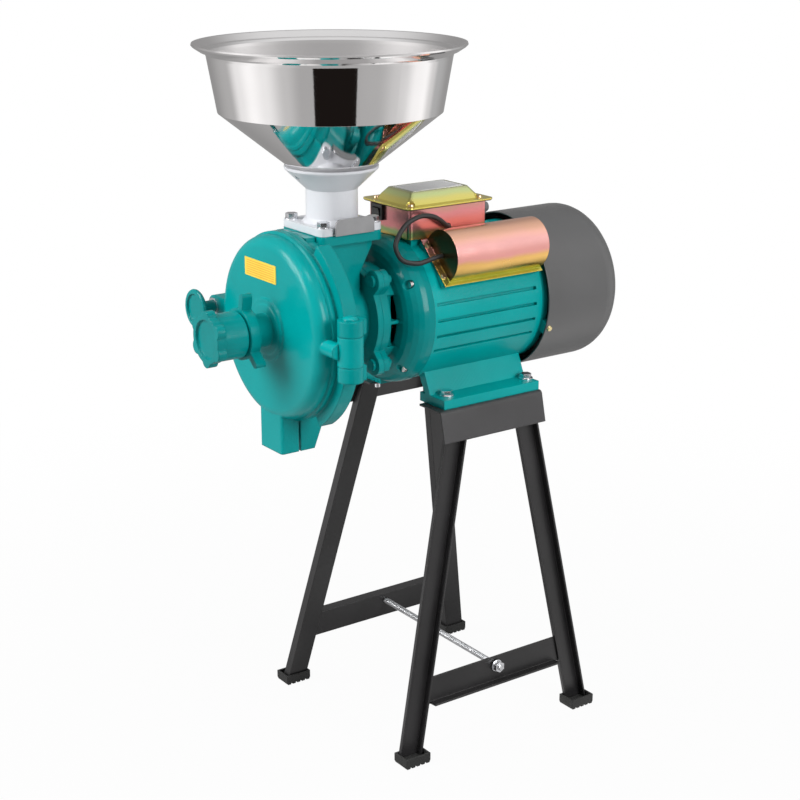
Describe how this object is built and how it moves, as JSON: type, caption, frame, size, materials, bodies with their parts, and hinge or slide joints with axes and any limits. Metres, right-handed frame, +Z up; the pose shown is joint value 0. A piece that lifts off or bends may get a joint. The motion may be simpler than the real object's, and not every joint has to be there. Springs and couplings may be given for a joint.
{
  "type": "electric grain mill",
  "caption": "Electric disc mill for grain: hinged grinding head with side outlet, direct-drive motor, steel hopper above and a four-legged stand.",
  "frame": {"origin": "on the floor, under the middle of the whole machine", "axes": "+Z up, the motor shaft runs along Y above x = 0, the adjusting knob faces -Y"},
  "size_m": [0.32, 0.562, 0.876],
  "materials": {
    "stand_paint": "satin black paint",
    "zinc_plate": "bright zinc plating",
    "rubber": "matt black rubber",
    "teal_paint": "glossy teal paint over castings",
    "bare_steel": "machined steel",
    "copper": "varnished copper wire",
    "black_plastic": "moulded black plastic",
    "cowl_paint": "satin dark grey paint",
    "gold_zinc": "yellow chromate zinc, iridescent",
    "white_label": "bare white film",
    "yellow_label": "bare yellow film",
    "grey_plastic": "moulded grey plastic",
    "lead_sleeve": "black cable sleeve",
    "disc_iron": "hard cast iron, ground face",
    "white_casting": "smooth white paint",
    "polished_steel": "mirror-polished stainless sheet"
  },
  "bodies": {
    "frame_and_motor": {"rail_right": "stand_paint", "rail_left": "stand_paint", "leg_front_right": "stand_paint", "leg_front_left": "stand_paint", "leg_rear_right": "stand_paint", "leg_rear_left": "stand_paint", "crossbar_right": "stand_paint", "crossbar_left": "stand_paint", "tie_rod": "zinc_plate", "tie_rod_nuts": "zinc_plate", "rubber_shoes": "rubber", "foot_bolts": "zinc_plate", "motor_frame": "teal_paint", "front_shield": "teal_paint", "rear_shield": "teal_paint", "shield_screws": "zinc_plate", "stator_core": "bare_steel", "stator_windings": "copper", "front_bearing": "bare_steel", "rear_bearing": "bare_steel", "fan_cowl": "cowl_paint", "cowl_screws": "zinc_plate", "terminal_box": "gold_zinc", "lid_gasket": "rubber", "terminal_lid": "gold_zinc", "lid_screws": "zinc_plate", "lid_label": "white_label", "terminal_block": "black_plastic", "switch_body": "black_plastic", "cable_gland": "grey_plastic", "capacitor": "black_plastic", "capacitor_cover": "gold_zinc", "capacitor_screws": "zinc_plate", "capacitor_lead": "lead_sleeve", "mill_housing": "teal_paint", "flange_bolts": "teal_paint", "fixed_disc": "disc_iron", "disc_screws": "zinc_plate", "hinge_pin": "teal_paint", "inlet_neck": "white_casting", "neck_bolts": "zinc_plate", "hopper": "polished_steel"},
    "shaft_line": {"motor_shaft": "bare_steel", "rotor_core": "bare_steel", "cooling_fan": "black_plastic", "feed_auger": "bare_steel", "rotating_disc": "disc_iron"},
    "cover": {"front_cover": "teal_paint", "cover_label": "yellow_label"},
    "lock_ring": {"lock_ring": "teal_paint"},
    "thrust_pin": {"thrust_pin": "bare_steel"},
    "adjusting_knob": {"adjusting_knob": "teal_paint"},
    "clamp_washer": {"clamp_washer": "zinc_plate"},
    "clamp_knob": {"clamp_knob": "teal_paint"},
    "feed_gate": {"feed_gate": "zinc_plate"},
    "switch_rocker": {"switch_rocker": "black_plastic"}
  },
  "joints": [
    {"name": "shaft_spin", "type": "hinge", "parent": "frame_and_motor", "child": "shaft_line", "pos_m": [0, 0, 0.5475], "axis": [0, 1, 0], "continuous": true},
    {"name": "cover_hinge", "type": "hinge", "parent": "frame_and_motor", "child": "cover", "pos_m": [0.135, -0.17, 0.5475], "axis": [0, 0, 1], "range_deg": [0, 110]},
    {"name": "ring_turn", "type": "hinge", "parent": "cover", "child": "lock_ring", "pos_m": [0, -0.281, 0.5475], "axis": [0, -1, 0], "range_deg": [0, 90]},
    {"name": "pin_slide", "type": "slide", "parent": "cover", "child": "thrust_pin", "axis": [0, -1, 0], "range_m": [0, 0.004]},
    {"name": "knob_turn", "type": "hinge", "parent": "thrust_pin", "child": "adjusting_knob", "pos_m": [0, -0.281, 0.5475], "axis": [0, -1, 0], "range_deg": [0, 722]},
    {"name": "clamp_slide", "type": "slide", "parent": "cover", "child": "clamp_washer", "axis": [0, -1, 0], "range_m": [0, 0.0075]},
    {"name": "clamp_turn", "type": "hinge", "parent": "clamp_washer", "child": "clamp_knob", "pos_m": [-0.133, -0.194, 0.5475], "axis": [0, -1, 0], "range_deg": [0, 1802]},
    {"name": "gate_slide", "type": "slide", "parent": "frame_and_motor", "child": "feed_gate", "axis": [1, 0, 0], "range_m": [0, 0.045]},
    {"name": "rocker_tilt", "type": "hinge", "parent": "frame_and_motor", "child": "switch_rocker", "pos_m": [-0.021, -0.024, 0.6655], "axis": [1, 0, 0], "range_deg": [-8, 8]}
  ],
  "couplings": [
    {"joint": "knob_turn", "follows": "pin_slide", "rad_per_m": 3141.6},
    {"joint": "clamp_turn", "follows": "clamp_slide", "rad_per_m": 4188.8}
  ]
}
